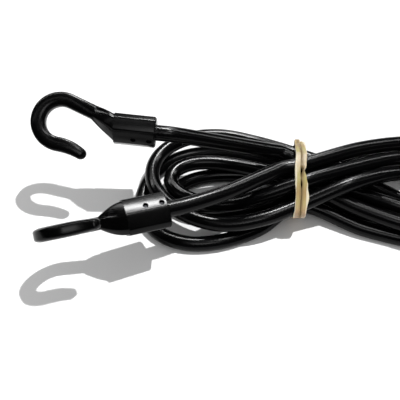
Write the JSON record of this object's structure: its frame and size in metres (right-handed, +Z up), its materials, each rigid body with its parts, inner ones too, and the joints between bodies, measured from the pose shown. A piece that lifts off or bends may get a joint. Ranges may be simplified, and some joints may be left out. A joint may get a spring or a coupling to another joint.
{
  "type": "bungee cord",
  "caption": "Elastic cord folded into a hank and tied by a rubber band, with a moulded hook pinned on each end",
  "frame": {"origin": "on the floor under the middle of the whole object's box", "axes": "+X runs from the hooks to the closed bights of the hank, +Y to the back, +Z up"},
  "size_m": [0.2714, 0.0978, 0.0608],
  "materials": {
    "cord_braid": "tight glossy braid",
    "cord_core": "matte",
    "hook_plastic": "semi-gloss moulded",
    "pin_steel": "plain",
    "band_rubber": "matte, slightly translucent"
  },
  "bodies": {
    "hank": {"hank_sheath": "cord_braid", "hank_core": "cord_core", "rubber_band": "band_rubber"},
    "upper_lead": {"upper_lead_sheath": "cord_braid", "upper_lead_core": "cord_core"},
    "upper_hook": {"upper_hook": "hook_plastic", "upper_end_sheath": "cord_braid", "upper_end_core": "cord_core", "upper_hook_front_pin": "pin_steel", "upper_hook_rear_pin": "pin_steel"},
    "lower_lead": {"lower_lead_sheath": "cord_braid", "lower_lead_core": "cord_core"},
    "lower_hook": {"lower_hook": "hook_plastic", "lower_end_sheath": "cord_braid", "lower_end_core": "cord_core", "lower_hook_front_pin": "pin_steel", "lower_hook_rear_pin": "pin_steel"}
  },
  "joints": [
    {"name": "upper_hook_stretch", "type": "slide", "parent": "hank", "child": "upper_lead", "axis": [-0.9944, 0.054, 0.091], "range_m": [0, 0.05], "stiffness_N_per_m": 2300, "deforming": ["upper_lead_sheath", "upper_lead_core"]},
    {"name": "upper_hook_twist", "type": "hinge", "parent": "upper_lead", "child": "upper_hook", "pos_m": [-0.07462, 0.01428, 0.046], "axis": [-0.9944, 0.054, 0.091], "range_deg": [-90, 90], "stiffness_Nm_per_rad": 0.03},
    {"name": "lower_hook_stretch", "type": "slide", "parent": "hank", "child": "lower_lead", "axis": [-0.9338, -0.3359, 0.123], "range_m": [0, 0.05], "stiffness_N_per_m": 2300, "deforming": ["lower_lead_sheath", "lower_lead_core"]},
    {"name": "lower_hook_twist", "type": "hinge", "parent": "lower_lead", "child": "lower_hook", "pos_m": [-0.06862, -0.02268, 0.032], "axis": [-0.9338, -0.3359, 0.123], "range_deg": [-90, 90], "stiffness_Nm_per_rad": 0.03}
  ]
}
